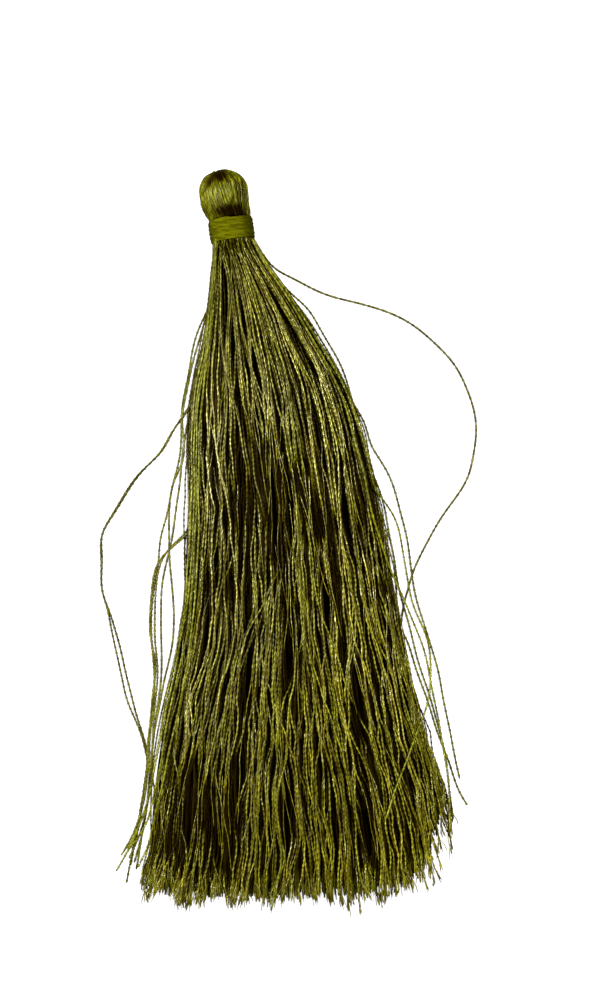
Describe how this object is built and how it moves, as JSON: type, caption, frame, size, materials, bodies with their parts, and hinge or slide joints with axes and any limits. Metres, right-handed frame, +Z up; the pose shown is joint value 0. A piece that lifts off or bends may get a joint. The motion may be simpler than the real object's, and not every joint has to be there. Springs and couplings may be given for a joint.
{
  "type": "tassel",
  "caption": "Silky thread tassel lying flat: a folded round head, a wound neck binding and a fanned skirt of long fine strands with stray threads.",
  "frame": {"origin": "under the middle of the bounding box, on the surface that the tassel lies on", "axes": "+Z up from the surface, +Y from the cut ends towards the head, +X to the right seen from above"},
  "size_m": [0.076, 0.1476, 0.009],
  "materials": {
    "silk_thread": "silky olive green twisted thread",
    "binding_thread": "silky olive green wound thread"
  },
  "bodies": {
    "root": {"thread_bundle": "silk_thread", "neck_binding": "binding_thread"}
  },
  "joints": []
}
